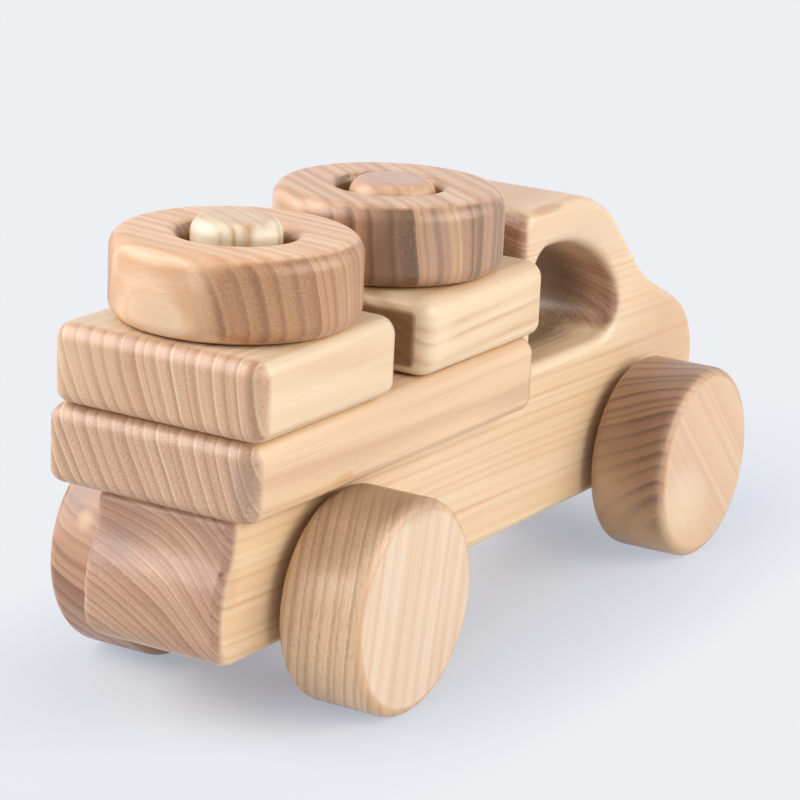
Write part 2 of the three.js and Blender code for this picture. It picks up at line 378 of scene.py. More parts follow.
def make_ring(name, radius, hole_round, x, y):
    """A ring lying on its plate with its middle at (x, y), all in millimetres."""
    start_piece()
    wall = radius - RING_HOLE_RADIUS
    middle = place(x + RING_HOLE_RADIUS + wall / 2, y, RING_BOTTOM + RING_THICKNESS / 2)
    bpy.ops.mesh.primitive_plane_add(size=1, location=middle, rotation=ACROSS)
    piece = bpy.context.object
    piece.name = name
    piece.scale = (wall * MM, RING_THICKNESS * MM, 1)
    bpy.ops.object.transform_apply(location=True, rotation=True, scale=True)
    bpy.ops.object.mode_set(mode="EDIT")
    pick("VERT", lambda v: v.co.x > middle.x)
    bpy.ops.mesh.bevel(offset=RING_ROUND * MM, segments=8, affect="VERTICES")
    pick("VERT", lambda v: v.co.x < place(x + RING_HOLE_RADIUS, 0, 0).x + EXACT)
    bpy.ops.mesh.bevel(offset=hole_round * MM, segments=7, affect="VERTICES")
    bpy.ops.mesh.select_all(action="SELECT")
    bpy.ops.mesh.delete(type="ONLY_FACE")
    bpy.ops.mesh.select_all(action="SELECT")
    bpy.ops.mesh.spin(steps=SPIN_STEPS, angle=2 * math.pi, center=place(x, y, 0), axis=(0, 0, 1))
    bpy.ops.mesh.select_all(action="SELECT")
    bpy.ops.mesh.remove_doubles(threshold=EXACT / 4)
    bpy.ops.mesh.normals_make_consistent(inside=False)
    bpy.ops.object.mode_set(mode="OBJECT")
    return soften(piece)


rear_ring = make_ring("ring_rear", REAR_RING_RADIUS, REAR_HOLE_ROUND, *REAR_RING)
front_ring = make_ring("ring_front", FRONT_RING_RADIUS, FRONT_HOLE_ROUND, *FRONT_RING)

# %% [markdown]
# ## Rods and discs
# Pegs and axles are cut from round rod and wheels are thick discs. They could be spun as the rings are, but
# a cylinder is there at once. It is only the start: its rims are then bevelled, each as the real one is.

# %% Rod and disc helper
def make_rod(name, radius, low, high, turn, sides):
    """A cylinder between two places in millimetres, left in edit mode."""
    start_piece()
    a, b = place(*low), place(*high)
    bpy.ops.mesh.primitive_cylinder_add(
        vertices=sides, radius=radius * MM, depth=(b - a).length, location=(a + b) / 2, rotation=turn)
    piece = bpy.context.object
    piece.name = name
    bpy.ops.object.transform_apply(location=True, rotation=True, scale=True)
    bpy.ops.object.mode_set(mode="EDIT")
    return piece


def round_rim(axis, level, radius, segments):
    """Bevels the rim of a cylinder's end that lies at a level along an axis, both in millimetres."""
    pick("EDGE", lambda e: is_crease(e) and both_ends(e, lambda p: abs(p[axis] - level * MM) < EXACT))
    bpy.ops.mesh.bevel(offset=radius * MM, segments=segments, affect="EDGES", clamp_overlap=False)


Y_AXIS, Z_AXIS = 1, 2
print("Rod helpers ready")

# %% [markdown]
# ## Pegs
# Two pegs are glued into sockets in the bed. The rear one stands a little higher. Their tops are well
# rounded, so that rings slip on easily, and the hidden feet are only eased.

# %% Pegs
PEG_RADIUS, PEG_SIDES = 11.0, 80
PEG_FOOT, PEG_FOOT_EASE, PEG_ROUND = 36.7, 1.0, 4.2
REAR_PEG_TOP, FRONT_PEG_TOP = 118.6, 116.7
pegs = {}
for end, x, top in (("rear", REAR_PEG, REAR_PEG_TOP), ("front", FRONT_PEG, FRONT_PEG_TOP)):
    peg = make_rod(f"peg_{end}", PEG_RADIUS, (x, 0, PEG_FOOT), (x, 0, top), UPRIGHT, PEG_SIDES)
    round_rim(Z_AXIS, top, PEG_ROUND, 9)
    round_rim(Z_AXIS, PEG_FOOT, PEG_FOOT_EASE, 2)
    bpy.ops.object.mode_set(mode="OBJECT")
    pegs[end] = soften(peg)

# %% [markdown]
# ## Wheels
# A wheel has two rounded rims and a plain outer face, because its axle is glued into a blind socket on the
# inside. A drill shape could cut the socket, but an inset and an extrusion leave a cleaner mesh. One wheel is
# modelled and three are copies, and a half turn brings a copy to the left side.

# %% Wheels
WHEEL_INNER, WHEEL_OUTER, WHEEL_ROUND, WHEEL_SIDES = 22.45, 45.35, 3.2, 120
WHEEL_SOCKET_RADIUS, WHEEL_SOCKET_DEPTH = 4.3, 15.0

wheel = make_rod("wheel_rear_right", WHEEL_RADIUS, (REAR_AXLE, -WHEEL_INNER, WHEEL_RADIUS),
                 (REAR_AXLE, -WHEEL_OUTER, WHEEL_RADIUS), ACROSS, WHEEL_SIDES)
pick("FACE", lambda f: abs(f.calc_center_median().y + WHEEL_INNER * MM) < EXACT)
bpy.ops.mesh.inset(thickness=(WHEEL_RADIUS - WHEEL_SOCKET_RADIUS) * MM)
bpy.ops.mesh.extrude_region_move(TRANSFORM_OT_translate={"value": (0, -WHEEL_SOCKET_DEPTH * MM, 0)})
for level in (-WHEEL_INNER, -WHEEL_OUTER):
    hub = place(REAR_AXLE, level, WHEEL_RADIUS)
    pick("EDGE", lambda e: is_crease(e) and both_ends(
        e, lambda p: abs(p.y - level * MM) < EXACT and (p - hub).length > WHEEL_RADIUS / 2 * MM))
    bpy.ops.mesh.bevel(offset=WHEEL_ROUND * MM, segments=8, affect="EDGES", clamp_overlap=False)
bpy.ops.object.mode_set(mode="OBJECT")

WHEELBASE = FRONT_AXLE - REAR_AXLE
REAR_AXLE_X = REAR_AXLE + TAIL
wheels = {("rear", "right"): soften(wheel)}
wheels["front", "right"] = copy_piece(wheel, "wheel_front_right", (WHEELBASE, 0, 0))
back_again = 2 * REAR_AXLE_X
wheels["rear", "left"] = copy_piece(wheel, "wheel_rear_left", (back_again, 0, 0), math.pi)
wheels["front", "left"] = copy_piece(wheel, "wheel_front_left", (back_again + WHEELBASE, 0, 0), math.pi)

# %% [markdown]
# ## Axles
# An axle is a thin rod that turns in the body with a wheel glued on each end. Little of it is ever seen, so
# its ends are only eased, and the front one is a copy.

# %% Axles
AXLE_RADIUS, AXLE_HALF, AXLE_EASE = 4.0, 37.15, 0.8
axle = make_rod("axle_rear", AXLE_RADIUS, (REAR_AXLE, -AXLE_HALF, WHEEL_RADIUS),
                (REAR_AXLE, AXLE_HALF, WHEEL_RADIUS), ACROSS, AXLE_SIDES)
for level in (-AXLE_HALF, AXLE_HALF):
    round_rim(Y_AXIS, level, AXLE_EASE, 2)
bpy.ops.object.mode_set(mode="OBJECT")
axles = {"rear": soften(axle)}
axles["front"] = copy_piece(axle, "axle_front", (WHEELBASE, 0, 0))

# %% [markdown]
# ## Which piece moves with which body
# Each new piece stands for one CAD node and rides on that node's body, so the stack lifts and the wheels
# turn as the joints say.

# %% Ride
RIDES = [
    (body, "body_block", "car_body", "body_wood"),
    (pegs["rear"], "rear_peg", "car_body", "peg_wood"),
    (pegs["front"], "front_peg", "car_body", "peg_wood"),
    (plank, "long_plank", "plank", "plank_wood"),
    (rear_plate, "rear_plate", "rear_plate", "plate_wood"),
    (front_plate, "front_plate", "front_plate", "plate_wood"),
    (rear_ring, "rear_ring", "rear_ring", "ring_wood"),
    (front_ring, "front_ring", "front_ring", "ring_wood"),
]
for end in ("rear", "front"):
    RIDES.append((axles[end], f"{end}_axle", f"{end}_wheels", "axle_wood"))
    for side in ("left", "right"):
        RIDES.append((wheels[end, side], f"{end}_{side}_wheel", f"{end}_wheels", "wheel_wood"))
for piece, node_name, body_name, slot_name in RIDES:
    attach(piece, body_name)
    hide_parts(node_name)
print("Riding pieces:", len(RIDES))

# %% [markdown]
# ## Wood that is solid all through
# Oiled ash and elm are ring-porous: every year leaves a line of open pores, and the rest of the year is
# dense and smooth. A board is a slice of the trunk, so the pattern is worked out in space and not on the
# surface. One direction runs along the fibres and one across the year rings. Where a face cuts across the
# fibres it shows end grain, browner and ringed, and where it runs along them it shows pale streaks.

# %% Colour and node helpers
def hex_colour(code):
    """An sRGB colour such as E8C698 in the linear values that Blender reckons with."""
    channels = [int(code[i:i + 2], 16) / 255 for i in (0, 2, 4)]
    return [c / 12.92 if c <= 0.04045 else ((c + 0.055) / 1.055) ** 2.4 for c in channels] + [1.0]


def add_node(tree, kind, inputs=None, stops=(), **settings):
    """Adds a node with its settings, ramp stops, and a value or a link at each named or numbered input."""
    made = tree.nodes.new("ShaderNode" + kind)
    for name, value in settings.items():
        setattr(made, name, value)
    for name, value in (inputs or {}).items():
        socket = made.inputs[name] if isinstance(name, int) else next(
            s for s in made.inputs if s.enabled and s.name == name)
        if isinstance(value, bpy.types.Node):
            value = next(s for s in value.outputs if s.enabled)
        if isinstance(value, bpy.types.NodeSocket):
            tree.links.new(value, socket)
        else:
            socket.default_value = value
    for i, (position, colour) in enumerate(stops):
        steps = made.color_ramp.elements
        step = steps[i] if i < len(steps) else steps.new(position)
        step.position, step.color = position, colour
    return made


print("F0D2AA is", [round(c, 3) for c in hex_colour("F0D2AA")])

# %% [markdown]
# ## Place and grain inside the tree
# A Mapping node turns the object's own coordinates until X runs along the fibres and Y across the rings,
# in millimetres. Four noises are stretched along the fibres: slow bends of the rings, broad clouds of
# colour, long fine fibres and short pores. Real fibres and pores are finer, about 0.2 mm wide, and are drawn
# about as coarse as they need to be to show.

# %% Wood space
GRAIN_CELLS = {"bends": ((180, 30, 30), 1), "clouds": ((110, 6, 6), 2), "fibres": ((34, 0.6, 0.6), 2),
               "pores": ((2.5, 0.5, 0.5), 1)}


def wood_space(tree, coords, fibre, across, centre):
    """The turned place, the turned facing and the four noises, around a centre in millimetres."""
    along = Vector(fibre).normalized()
    stack = Vector(across)
    stack = (stack - stack.dot(along) * along).normalized()
    turn = Matrix((along, stack, along.cross(stack)))
    inside = add_node(tree, "Mapping", {
        "Vector": coords.outputs["Object"], "Location": -(turn @ place(*centre)) / MM,
        "Rotation": turn.to_euler(), "Scale": (1 / MM, 1 / MM, 1 / MM)})
    facing = add_node(tree, "Mapping", {
        "Vector": coords.outputs["Normal"], "Rotation": turn.to_euler()}, vector_type="VECTOR")
    grain = {}
    for title, (cell, detail) in GRAIN_CELLS.items():
        squeeze = [1 / size for size in cell]
        stretched = add_node(tree, "VectorMath", {0: inside, 1: squeeze}, operation="MULTIPLY")
        grain[title] = add_node(tree, "TexNoise", {"Vector": stretched, "Scale": 1.0, "Detail": detail})
    return inside, facing, grain


def stain(tree, under, over, pattern, low, high, most):
    """Lays a colour over another where a pattern goes from low to high, at most by a given share."""
    share = add_node(tree, "MapRange", {"Value": pattern, "From Min": low, "From Max": high, "To Max": most})
    return add_node(tree, "Mix", {"Factor": share, "A": under, "B": over}, data_type="RGBA")


print("Grain cells in mm:", GRAIN_CELLS)

# %% [markdown]
# ## Counting the years
# The count of years grows with the place across the rings. The trunk's curve bends it, a fan spreads it,
# a slope along the fibres tilts it, and a noise along the count makes some years wider than others.

# %% Year rings
BEND_SHARE, FIBRE_SHARE = 4.0, 0.04
UNEVEN_PACE, UNEVEN_SHARE = 0.4, 1.6


def year_count(tree, inside, grain, year, bend, fan, drift, sway):
    """The number of years between the centre and a place, for a mean ring width in millimetres."""
    x, y, z = add_node(tree, "SeparateXYZ", {0: inside}).outputs
    curve = add_node(tree, "Math", {0: z, 1: z}, operation="MULTIPLY")
    spread = add_node(tree, "Math", {0: y, 1: z}, operation="MULTIPLY")
    depth = y
    waves = BEND_SHARE * sway * year
    for part, share in ((curve, bend / 2), (spread, fan), (x, drift), (grain["bends"], waves)):
        depth = add_node(tree, "Math", {0: part, 1: share, 2: depth}, operation="MULTIPLY_ADD")
    count = add_node(tree, "Math", {0: depth, 1: year}, operation="DIVIDE")
    count = add_node(tree, "Math", {0: grain["fibres"], 1: FIBRE_SHARE, 2: count}, operation="MULTIPLY_ADD")
    uneven = add_node(
        tree, "TexNoise", {"W": count, "Scale": UNEVEN_PACE, "Detail": 1.0}, noise_dimensions="1D")
    return add_node(tree, "Math", {0: uneven, 1: UNEVEN_SHARE, 2: count}, operation="MULTIPLY_ADD")


print("Year counter ready")

# %% [markdown]
# ## End grain and side grain
# Across the fibres, each year is a thin pale line of pores and then wood that darkens until the next line.
# No two years are alike, so each line gets its own strength and each year its own tone. Crisp says how far
# the lines stand out, and bold adds broader dark and pale bands over a few years. Along the fibres, the same
# years are soft streaks, with clouds of paler and browner wood and fine dark fibres.

# %% Grain colours
PORE_SHADE = hex_colour("7F563C")
TONE_PACE, BAND_PACE = 0.8, 0.55


def end_grain(tree, count, grain, tones, speckle, crisp, bold):
    """The colour of a face across the fibres. tones are (pore line, early wood, late wood)."""
    line, early, late = tones
    part = add_node(tree, "Math", {0: count}, operation="FRACT")
    number = add_node(tree, "Math", {0: count}, operation="FLOOR")
    strength = add_node(tree, "TexWhiteNoise", {"W": number}, noise_dimensions="1D")
    tone = add_node(tree, "TexNoise", {"W": count, "Scale": TONE_PACE, "Detail": 2.0}, noise_dimensions="1D")
    plain = add_node(tree, "ValToRGB", {0: part}, stops=[
        (0.0, early), (0.4, early), (0.75, late), (1.0, early)])
    lined = add_node(tree, "ValToRGB", {0: part}, stops=[
        (0.0, line), (0.04, line), (0.14, early), (0.5, early), (0.9, late), (0.98, line)])
    colour = stain(tree, plain, lined, strength, -0.2, 0.8, crisp)
    colour = stain(tree, colour, early, tone, 0.45, 0.75, 0.55)
    colour = stain(tree, colour, late, tone, 0.5, 0.25, 0.6)
    band = add_node(tree, "TexNoise", {"W": count, "Scale": BAND_PACE, "Detail": 1.0}, noise_dimensions="1D")
    colour = stain(tree, colour, late, band, 0.5, 0.3, bold)
    colour = stain(tree, colour, line, band, 0.55, 0.7, 0.8 * bold)
    colour = stain(tree, colour, line, grain["pores"], 0.56, 0.74, speckle)
    return stain(tree, colour, PORE_SHADE, grain["pores"], 0.44, 0.28, speckle)


def side_grain(tree, count, grain, tones, streaks, lines):
    """The colour of a face along the fibres. tones are (light, main, streak)."""
    light, main, streak = tones
    part = add_node(tree, "Math", {0: count}, operation="FRACT")
    tone = add_node(tree, "TexNoise", {"W": count, "Scale": TONE_PACE, "Detail": 1.0}, noise_dimensions="1D")
    colour = add_node(tree, "ValToRGB", {0: part}, stops=[
        (0.0, streak), (0.25, main), (0.5, light), (0.7, main), (1.0, streak)])
    colour = stain(tree, colour, main, tone, 0.1 + streaks / 2, 0.5 + streaks / 2, 1.0)
    colour = stain(tree, colour, light, grain["clouds"], 0.5, 0.28, 0.7)
    colour = stain(tree, colour, streak, grain["clouds"], 0.52, 0.78, 0.8 * streaks)
    return stain(tree, colour, streak, grain["fibres"], 0.5, 0.25, lines)


print("Grain colours ready")

# %% [markdown]
# ## Marks in the wood
# Real boards carry knots, pale sapwood, heartwood clouds and patches of figure. They could be painted on the
# surface, but then they would stop at an edge. Each mark here is a soft egg-shaped region in the solid wood,
# so it shows wherever the surface cuts through it. Some of them are painted light and shade instead of
# figure:
# they darken hollows and gaps where shade falls, lighten places that the light reaches, or add a pale sheen.

# %% Marks
MARK_EDGE, MARK_RAGGED = 1.15, 0.3


def mark(tree, coords, grain, shown, at, size, code, share, soft):
    """Colours an egg-shaped region around a place, with radii in millimetres and a softness from 0 to 1; used
    for figure and for painted light and shade.
    """
    scale = [1 / (MM * radius) for radius in size]
    shift = [-p * s for p, s in zip(place(*at), scale)]
    near = add_node(tree, "Mapping", {
        "Vector": coords.outputs["Object"], "Location": shift, "Scale": scale})
    away = add_node(tree, "VectorMath", {0: near}, operation="LENGTH")
    ragged = add_node(tree, "Math", {0: grain["fibres"], 1: MARK_RAGGED, 2: away}, operation="MULTIPLY_ADD")
    return stain(tree, shown, hex_colour(code), ragged, MARK_EDGE, MARK_EDGE - soft, share)


print("Marks ready")

# %% [markdown]
# ## Oiled wood
# Rubbed-in oil leaves a satin skin: the wood keeps its tooth, and a thin smooth coat over it gives the soft
# broad shine on the rounded edges. Oil also deepens every tone a little, as water does. A varnish would be
# one glassy layer, so the wood's own roughness is kept under the coat. A wheel's tread, picked by which way
# the surface faces, gets the browner end tones and its face the paler side tones, and the edge between them
# gets a tone of its own.

# %% Oiled wood
OIL_DEPTH = hex_colour("E7E7E7")
WOOD_IOR, SATIN_LOW, SATIN_HIGH = 1.5, 0.45, 0.55
COAT_WEIGHT, COAT_ROUGHNESS = 0.55, 0.3
TOOTH_STRENGTH, TOOTH_DEPTH = 0.1, 0.05
FACE_ENDS, TREAD_STARTS = 0.985, 0.9
RIM_MIDDLE, RIM_HALF, RIM_MOST = 0.75, 0.24, 0.45


def oiled_wood(name, fibre, across, centre, year, side, end, bend=0.0, fan=0.0, drift=0.0, sway=0.15,
               speckle=0.25, crisp=1.0, bold=0.0, streaks=0.5, lines=0.25, cut=(0.12, 0.45), rim=None,
               marks_and_painted_light=()):
    """A wood with its fibre and ring directions, tones in sRGB hex, and regions of figure and of painted
    light and shade. rim is a wheel's edge tone.
    """
    material = bpy.data.materials.new(name)
    material.use_nodes = True
    tree = material.node_tree
    shader = tree.nodes["Principled BSDF"]
    coords = add_node(tree, "TexCoord")
    inside, facing, grain = wood_space(tree, coords, fibre, across, centre)
    count = year_count(tree, inside, grain, year, bend, fan, drift, sway)
    across_face = end_grain(tree, count, grain, [hex_colour(code) for code in end], speckle, crisp, bold)
    along_face = side_grain(tree, count, grain, [hex_colour(code) for code in side], streaks, lines)

    if rim:
        turned = add_node(tree, "SeparateXYZ", {0: coords.outputs["Normal"]}).outputs["Y"]
        turned = add_node(tree, "Math", {0: turned}, operation="ABSOLUTE")
        edge = add_node(tree, "Math", {0: turned, 1: RIM_MIDDLE, 2: RIM_HALF}, operation="COMPARE")
        shown = stain(tree, along_face, across_face, turned, FACE_ENDS, TREAD_STARTS, 1.0)
        blend = add_node(tree, "MapRange", {
            "Value": turned, "From Min": 0.3, "From Max": 0.8, "To Max": RIM_MOST})
        blend = add_node(tree, "Math", {0: blend, 1: edge}, operation="MULTIPLY")
        shown = add_node(tree, "Mix", {"Factor": blend, "A": shown, "B": hex_colour(rim)}, data_type="RGBA")
    else:
        crossed = add_node(tree, "SeparateXYZ", {0: facing}).outputs["X"]
        crossed = add_node(tree, "Math", {0: crossed}, operation="ABSOLUTE")
        shown = stain(tree, along_face, across_face, crossed, *cut, 1.0)
    for each in marks_and_painted_light:
        shown = mark(tree, coords, grain, shown, *each)

    tooth = add_node(tree, "Math", {0: grain["pores"], 1: grain["fibres"]}, operation="ADD")
    bump = add_node(tree, "Bump", {
        "Height": tooth, "Strength": TOOTH_STRENGTH, "Distance": TOOTH_DEPTH * MM})
    rough = add_node(tree, "MapRange", {
        "Value": grain["pores"], "From Min": 0.3, "From Max": 0.7, "To Min": SATIN_LOW, "To Max": SATIN_HIGH})
    shown = add_node(tree, "Mix", {"Factor": 1.0, "A": shown.outputs[2], "B": OIL_DEPTH},
                     data_type="RGBA", blend_type="MULTIPLY")
    tree.links.new(shown.outputs[2], shader.inputs["Base Color"])
    tree.links.new(rough.outputs[0], shader.inputs["Roughness"])
    tree.links.new(bump.outputs[0], shader.inputs["Normal"])
    shader.inputs["IOR"].default_value = WOOD_IOR
    shader.inputs["Coat Weight"].default_value = COAT_WEIGHT
    shader.inputs["Coat Roughness"].default_value = COAT_ROUGHNESS
    print(f"{name}: {len(tree.nodes)} nodes")
    return material


print("Oiled wood ready")

# %% [markdown]
# ## The body's ash
# The block is sawn so that its rings run in low arcs across the rear end. The tail is brown with a few pin
# knots, the sides are golden, and the roof, cut flat to the rings, is a little pinker. The inside of the
# window and the cab's rear face get darker tones as painted shade, which deepens the shade there.

# %% Body wood
body_wood = oiled_wood(  # honey-coloured sides with soft streaks, and a browner tail with fine arcs
    "oiled ash body block", (1, 0, 0), (0, -0.5, 0.866), (0, 0, 36), 2.0, ("F8DEB6", "F4D2A6", "E2B684"),
    ("DEBE9A", "CA9C7C", "A87858"), bend=0.0192, drift=0.02, sway=0.35, speckle=0.3, crisp=1.0,
    bold=0.35, streaks=0.35, cut=(0.35, 0.7),
    marks_and_painted_light=(
        ((160, 0, 105), (60, 24, 3), "D0A47E", 0.8, 0.6),
        ((148.3, -18.8, 103.4), (10, 1.8, 1.6), "CF9C74", 0.8, 0.4),
        ((165, -20, 88), (36, 3, 24), "E2C4A6", 0.75, 0.8),
        ((225, -20, 55), (34, 4, 40), "E0B486", 0.7, 0.8),
        # painted shade: the inside of the window, in a plain dark brown
        ((166, 0, 72), (38, 16.5, 20), "6E5030", 0.92, 0.35),
        # painted shade: the cab's rear face, dark in the gap behind the front ring
        ((134.5, 0, 84), (5, 24, 22), "9C7E56", 0.9, 0.5),
        ((3, 12, 44), (8, 13, 10), "8E685C", 0.6, 0.9),
        ((3, -16, 42), (7, 7, 14), "A0705A", 0.5, 0.9),
        ((2.8, -18.2, 41.4), (1.3, 0.9, 0.9), "6C4A44", 0.8, 0.6),
        ((0.9, -17.6, 31.7), (1.2, 0.55, 0.55), "6C4A44", 0.8, 0.6),
    ))

# %% [markdown]
# ## The boards' ash
# Plank and plates show the trunk's rings on their ends as upright lines that fan a little, and streaks on
# top. The plank has a brown streak of heartwood at its front, a small orange fleck, and a darker corner at
# its rear. The front plate's end tones are dark, painted shade that deepens the gap behind its rear end,
# and a pale patch of painted light brightens its rear right corner.

# %% Board woods
plank_wood = oiled_wood(  # pale sides, and a strongly lined brown end
    "oiled ash plank", (1, 0, 0), (0, -0.914, 0.407), (0, 1.8, 64.5), 3.0, ("F3D3A8", "EECA9F", "D4A67A"),
    ("EBD0AA", "D4AA88", "B28564"), bend=-0.006, fan=0.0065, drift=0.01, speckle=0.4, streaks=0.38,
    lines=0.35,
    marks_and_painted_light=(
        ((0, -27, 65), (5, 6, 12), "A98A76", 0.55, 0.8),
        ((122, -28.2, 60), (24, 2, 4), "CFA47E", 0.4, 0.8),
        ((39, -28.4, 58), (5.5, 2, 1.8), "E0A866", 0.6, 0.6),
    ))
rear_plate_wood = oiled_wood(  # a cream top and a tan end with thin pale lines
    "oiled ash rear plate", (1, 0, 0), (0, -0.961, 0.276), (0, 0, 84.4), 3.5, ("F7E4C4", "F3D9B4", "DFB684"),
    ("EDD2AA", "DBB08C", "BA8862"), bend=-0.013, fan=0.00875, drift=0.01, streaks=0.4,
    marks_and_painted_light=(((0, 24, 86), (9, 16, 12), "E9C9A2", 0.45, 1.0),))
front_plate_wood = oiled_wood(  # a cream side with a few brown streaks, and a plain shaded end
    "oiled ash front plate", (1, 0, 0), (0, -0.35, 0.937), (103, 1.5, 84.4), 4.0,
    # the end tones below are painted shade, dark for the gap behind the rear end; the front end gets them too
    ("F6DDB6", "F3D4AA", "D0A674"), ("A98658", "96724A", "866440"), bend=0.004, drift=-0.03, crisp=0.4,
    streaks=0.45, cut=(0.93, 0.995),
    marks_and_painted_light=(
        # painted light: a pale patch that brightens the rear right corner
        ((81, -28.5, 84.4), (8, 3, 9), "FAE2C0", 0.55, 0.8),
        ((132, -28.5, 84.4), (13, 4, 12), "E6C096", 0.6, 0.8),
    ))

# %% [markdown]
# ## The rings' elm
# The rings are turned from browner wood. Its fibres lie across the ring, so the sides that they run into
# show bold stripes, and the sides that they run along stay pale. The front ring is the darker one, with a
# dark stripe, a pinkish patch of painted sheen on its flank, and a hole painted darker as painted shade.

# %% Ring woods
rear_ring_wood = oiled_wood(  # a peach top, a pale flank with an oval figure, and brown stripes
    "oiled elm rear ring", (0.16, 0.987, 0), (0.98, -0.16, 0.17), (30.8, -1, 104.8), 3.8,
    ("F6D2A6", "ECBA8C", "D29A68"), ("DDB080", "C48E60", "9C6840"), bend=0.012, speckle=0.35, crisp=0.6,
    bold=0.3, lines=0.4, cut=(0.42, 0.6),
    marks_and_painted_light=(((0.9, 1.8, 100.3), (5, 9, 4.8), "F5DCB8", 0.4, 0.15),))
front_ring_wood = oiled_wood(  # bold stripes from cream to dark brown
    "oiled elm front ring", (0.566, 0.824, 0), (0.824, -0.566, 0.05), (101.6, 1, 104.8), 4.2,
    ("EAC39C", "DFB189", "BC8A64"), ("E8BE8A", "BE8F70", "70502C"), bend=0.004, sway=0.3, speckle=0.2,
    crisp=0.5, bold=0.8, streaks=0.6, lines=0.4, cut=(0.35, 0.6),
    marks_and_painted_light=(
        ((75.5, -12.5, 104), (5, 5.5, 18), "5E4428", 0.7, 1.0),
        # painted sheen: a pinkish lavender patch on the ring's flank
        ((84, -22.5, 103), (5, 4.5, 16), "C8A48E", 0.5, 1.0),
        # painted shade: the hole's wall in a plain darker brown, which also hides its stripes
        ((101.6, 1, 107), (20, 20, 12), "9C7450", 0.95, 0.3),
    ))

# %% [markdown]
# ## The pegs' maple and elm
# The pegs are cut from rod, so their fibres run upright and their years show as upright bands. The rear one
# is the palest piece of the car.

# %% Peg woods
rear_peg_wood = oiled_wood(  # cream with a few brown lines
    "oiled maple rear peg", (0, 0, 1), (0.877, -0.48, 0), (28, 2, 100), 4.0, ("F8EBD0", "F2DAAE", "C49866"),
    ("F0D8B2", "E2BE98", "CEA47A"), bold=0.4, streaks=0.9, speckle=0.1, cut=(0.8, 0.98),
    marks_and_painted_light=(
        ((21, 4, 112), (6, 8, 14), "F8E9CE", 0.8, 0.5),
        ((28.5, -10.5, 112), (5, 4, 9), "F8E8CC", 0.9, 0.5),
    ))
front_peg_wood = oiled_wood(  # golden tan with a plain pinkish top
    "oiled elm front peg", (0, 0, 1), (0.877, -0.48, 0), (101, 0, 100), 4.0, ("E8C096", "DFB288", "CB9A70"),
    ("D6AE98", "D0A690", "C69C86"), speckle=0.1, cut=(0.8, 0.98))

# %% [markdown]
# ## The wheels' ash and elm
# The wheels come from several planks, and their fibres lie in the plane of the wheel. The treads are brown
# with lines that run round or across them. The faces are paler, and the sanded edge between is more orange.

# %% Wheel woods
rear_wheel_wood = oiled_wood(  # a peach face with fine upright fibres
    "oiled ash rear right wheel", (0.17, 0, 0.985), (-0.44, 0.9, 0), (46.2, -34, 26.8), 2.3,
    ("F3DEC4", "EDD0B0", "D8AC84"), ("F8DDB6", "F0CA9E", "CC9E74"), sway=0.2, crisp=0.7, streaks=0.3,
    # painted shade: the mark on the next line darkens the tread's top, where the plank and body shade it
    lines=0.45, rim="DDAA78", marks_and_painted_light=(((48, -38, 55), (30, 24, 7), "8E6740", 0.75, 0.8),))
front_wheel_wood = oiled_wood(  # a face from pink to cream, and a dark tread with slanting lines
    "oiled elm front right wheel", (0.7, 0, -0.714), (0.657, 0.39, 0.644), (199.9, -34, 26.8), 3.1,
    ("EDCBA6", "E4BD98", "CFA07A"), ("D6AA80", "BC906C", "86644E"), sway=0.3, speckle=0.1, crisp=0.3,
    streaks=0.15, lines=0.15, rim="E0AE78",
    marks_and_painted_light=(
        # painted light: a pale patch on the tread's rear, next to the body, where the body shades it
        ((174, -28, 22), (10, 12, 24), "EAC094", 0.75, 0.9),
        ((175, -32, 34), (9, 14, 11), "6A4C38", 0.35, 0.9),
        ((186, -45.4, 12), (19, 3, 18), "FCEACA", 0.9, 0.9),
        # painted light: a golden patch that lightens the shaded bottom of the tread and hides a loop of lines
        # there
        ((184, -36, 2), (28, 28, 24), "E0B480", 0.9, 0.7),
    ))
left_wheel_wood = oiled_wood(  # reddish brown with wavy figure and a pale knot
    "oiled elm left wheel", (0.95, 0, -0.25), (0.2, -0.6, 0.77), (46.2, 34, 26.8), 3.6,
    ("E2B58E", "CD9B76", "A8775A"), ("DCB08A", "C69676", "926448"), sway=1.0, speckle=0.15, crisp=0.5,
    bold=0.5, rim="C6946C",
    marks_and_painted_light=(
        ((22.1, 35.4, 38.6), (5, 3, 3.4), "E0B88A", 0.7, 0.6),
        ((25.1, 40, 43.3), (5, 4, 4.5), "A08A7C", 0.6, 0.8),
        ((30, 34, 47), (14, 14, 8), "94766A", 0.5, 0.9),
    ))
axle_wood = oiled_wood(  # plain pale rod
    "oiled ash axle", (0, 1, 0), (1, 0, 0), (46.2, 0, 26.8), 2.5, ("F6E0BE", "F2D6AE", "DDB588"),
    ("EED2A6", "D9AD88", "BA8862"))

# %% [markdown]
# ## Giving each piece its wood
# A piece of wood is one material all through, so each piece gets a single material. Both axles share one,
# and so do the two left wheels, of which the picture shows little.

# %% Give the woods
WOODS = [
    (body, body_wood), (plank, plank_wood), (rear_plate, rear_plate_wood), (front_plate, front_plate_wood),
    (rear_ring, rear_ring_wood), (front_ring, front_ring_wood), (pegs["rear"], rear_peg_wood),
    (pegs["front"], front_peg_wood), (wheels["rear", "right"], rear_wheel_wood),
    (wheels["front", "right"], front_wheel_wood), (wheels["rear", "left"], left_wheel_wood),
    (wheels["front", "left"], left_wheel_wood), (axles["rear"], axle_wood), (axles["front"], axle_wood),
]
for piece, wood in WOODS:
    piece.data.materials.clear()
    piece.data.materials.append(wood)
print("Woods given:", len(WOODS))

# %% [markdown]
# ## Camera
# The camera stands where the picture was taken from: behind the car and to its right, a little above it, with
# a long lens. Its place and turn were worked out from the edges of the car in the picture.

